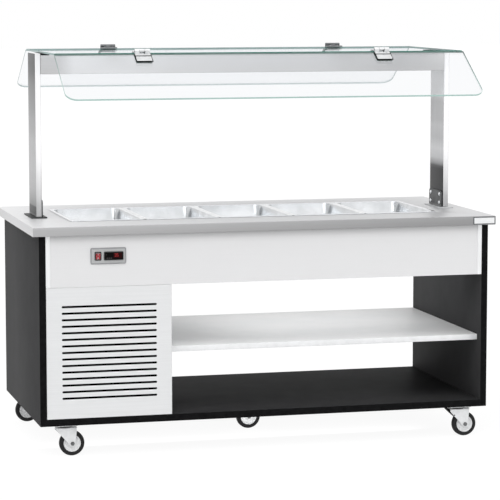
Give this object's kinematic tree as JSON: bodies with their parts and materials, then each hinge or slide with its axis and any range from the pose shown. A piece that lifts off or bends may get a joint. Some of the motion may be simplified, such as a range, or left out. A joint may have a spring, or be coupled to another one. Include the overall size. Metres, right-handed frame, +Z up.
{
  "type": "mobile salad bar",
  "caption": "Mobile salad bar: steel counter with lift-out food pans under a hinged glass canopy, on an open cabinet with a machine bay and swivel casters.",
  "frame": {"origin": "on the floor, under the middle of the counter", "axes": "+X along the counter to its right end as seen from the control side, -Y towards the control side (front), +Z up"},
  "size_m": [2.016, 1.288, 1.695],
  "materials": {
    "black_board": "matt black laminated board",
    "counter_steel": "fine brushed steel",
    "satin_steel": "satin steel",
    "pale_sheet": "pale coated sheet",
    "white_board": "white laminated board",
    "clear_glass": "clear glass with a faint green edge",
    "chrome": "polished chrome",
    "zinc": "bright zinc plating",
    "tyre_rubber": "dark grey rubber on a plastic hub",
    "pad_rubber": "black rubber",
    "bezel_grey": "grey plastic",
    "rocker_red": "translucent red plastic",
    "display_black": "black plastic",
    "black_paint": "black paint",
    "black_fins": "black coated aluminium",
    "aluminium": "plain aluminium",
    "lamp_white": "white diffusing plastic"
  },
  "bodies": {
    "cabinet": {"left_side_panel": "black_board", "right_side_panel": "black_board", "base_board": "black_board", "counter_top": "counter_steel", "well_tub": "satin_steel", "front_apron": "pale_sheet", "rear_apron": "pale_sheet", "mid_shelf": "white_board", "machine_bay_wall": "white_board", "front_louvre_panel": "pale_sheet", "rear_louvre_panel": "pale_sheet", "compressor": "black_paint", "condenser": "black_fins", "power_inlet": "black_paint", "control_bezel": "bezel_grey", "temperature_controller": "display_black", "left_post": "satin_steel", "right_post": "satin_steel", "left_post_bracket": "zinc", "right_post_bracket": "zinc", "top_beam": "satin_steel", "light_diffuser": "lamp_white", "left_glass_pad": "pad_rubber", "right_glass_pad": "pad_rubber", "top_glass": "clear_glass", "front_left_upper_jaw": "chrome", "front_right_upper_jaw": "chrome", "rear_left_upper_jaw": "chrome", "rear_right_upper_jaw": "chrome", "name_plate": "aluminium", "front_left_caster_plate": "zinc", "front_right_caster_plate": "zinc", "rear_left_caster_plate": "zinc", "rear_right_caster_plate": "zinc", "centre_caster_plate": "zinc"},
    "front_canopy": {"front_glass": "clear_glass", "front_left_lower_jaw": "chrome", "front_right_lower_jaw": "chrome"},
    "rear_canopy": {"rear_glass": "clear_glass", "rear_left_lower_jaw": "chrome", "rear_right_lower_jaw": "chrome"},
    "rocker": {"rocker_switch": "rocker_red"},
    "fan": {"condenser_fan": "black_paint"},
    "pan_1_body": {"pan_1": "satin_steel"},
    "pan_2_body": {"pan_2": "satin_steel"},
    "pan_3_body": {"pan_3": "satin_steel"},
    "pan_4_body": {"pan_4": "satin_steel"},
    "pan_5_body": {"pan_5": "satin_steel"},
    "front_left_swivel": {"front_left_fork": "zinc"},
    "front_left_wheel_body": {"front_left_wheel": "tyre_rubber"},
    "front_right_swivel": {"front_right_fork": "zinc"},
    "front_right_wheel_body": {"front_right_wheel": "tyre_rubber"},
    "front_right_pedal": {"front_right_brake_pedal": "black_paint"},
    "rear_left_swivel": {"rear_left_fork": "zinc"},
    "rear_left_wheel_body": {"rear_left_wheel": "tyre_rubber"},
    "rear_right_swivel": {"rear_right_fork": "zinc"},
    "rear_right_wheel_body": {"rear_right_wheel": "tyre_rubber"},
    "rear_right_pedal": {"rear_right_brake_pedal": "black_paint"},
    "centre_swivel": {"centre_fork": "zinc"},
    "centre_wheel_body": {"centre_wheel": "tyre_rubber"}
  },
  "joints": [
    {"name": "front_left_swivel_turn", "type": "hinge", "parent": "cabinet", "child": "front_left_swivel", "pos_m": [-0.868, -0.405, 0.12], "axis": [0, 0, 1], "continuous": true},
    {"name": "front_left_wheel_roll", "type": "hinge", "parent": "front_left_swivel", "child": "front_left_wheel_body", "pos_m": [-0.84, -0.405, 0.053], "axis": [0, 1, 0], "continuous": true},
    {"name": "front_right_swivel_turn", "type": "hinge", "parent": "cabinet", "child": "front_right_swivel", "pos_m": [0.868, -0.405, 0.12], "axis": [0, 0, 1], "continuous": true},
    {"name": "front_right_wheel_roll", "type": "hinge", "parent": "front_right_swivel", "child": "front_right_wheel_body", "pos_m": [0.896, -0.405, 0.053], "axis": [0, 1, 0], "continuous": true},
    {"name": "front_right_brake", "type": "hinge", "parent": "front_right_swivel", "child": "front_right_pedal", "pos_m": [0.84697, -0.405, 0.09384], "axis": [0, -1, 0], "range_deg": [0, 14]},
    {"name": "rear_left_swivel_turn", "type": "hinge", "parent": "cabinet", "child": "rear_left_swivel", "pos_m": [-0.868, 0.405, 0.12], "axis": [0, 0, 1], "continuous": true},
    {"name": "rear_left_wheel_roll", "type": "hinge", "parent": "rear_left_swivel", "child": "rear_left_wheel_body", "pos_m": [-0.896, 0.405, 0.053], "axis": [0, 1, 0], "continuous": true},
    {"name": "rear_right_swivel_turn", "type": "hinge", "parent": "cabinet", "child": "rear_right_swivel", "pos_m": [0.868, 0.405, 0.12], "axis": [0, 0, 1], "continuous": true},
    {"name": "rear_right_wheel_roll", "type": "hinge", "parent": "rear_right_swivel", "child": "rear_right_wheel_body", "pos_m": [0.896, 0.405, 0.053], "axis": [0, 1, 0], "continuous": true},
    {"name": "rear_right_brake", "type": "hinge", "parent": "rear_right_swivel", "child": "rear_right_pedal", "pos_m": [0.84697, 0.405, 0.09384], "axis": [0, -1, 0], "range_deg": [0, 14]},
    {"name": "centre_swivel_turn", "type": "hinge", "parent": "cabinet", "child": "centre_swivel", "pos_m": [0, 0, 0.12], "axis": [0, 0, 1], "continuous": true},
    {"name": "centre_wheel_roll", "type": "hinge", "parent": "centre_swivel", "child": "centre_wheel_body", "pos_m": [0.028, 0, 0.053], "axis": [0, 1, 0], "continuous": true},
    {"name": "rocker_press", "type": "hinge", "parent": "cabinet", "child": "rocker", "pos_m": [-0.733, -0.4618, 0.842], "axis": [-1, 0, 0], "range_deg": [0, 18]},
    {"name": "pan_1_lift", "type": "slide", "parent": "cabinet", "child": "pan_1_body", "axis": [0, 0, 1], "range_m": [0, 0.25]},
    {"name": "pan_2_lift", "type": "slide", "parent": "cabinet", "child": "pan_2_body", "axis": [0, 0, 1], "range_m": [0, 0.25]},
    {"name": "pan_3_lift", "type": "slide", "parent": "cabinet", "child": "pan_3_body", "axis": [0, 0, 1], "range_m": [0, 0.25]},
    {"name": "pan_4_lift", "type": "slide", "parent": "cabinet", "child": "pan_4_body", "axis": [0, 0, 1], "range_m": [0, 0.25]},
    {"name": "pan_5_lift", "type": "slide", "parent": "cabinet", "child": "pan_5_body", "axis": [0, 0, 1], "range_m": [0, 0.25]},
    {"name": "front_glass_fold", "type": "hinge", "parent": "cabinet", "child": "front_canopy", "pos_m": [0, -0.3656, 1.687], "axis": [-1, 0, 0], "range_deg": [0, 110]},
    {"name": "rear_glass_fold", "type": "hinge", "parent": "cabinet", "child": "rear_canopy", "pos_m": [0, 0.3656, 1.687], "axis": [1, 0, 0], "range_deg": [0, 110]},
    {"name": "fan_spin", "type": "hinge", "parent": "cabinet", "child": "fan", "pos_m": [-0.686, -0.339, 0.3103], "axis": [0, 1, 0], "continuous": true}
  ]
}
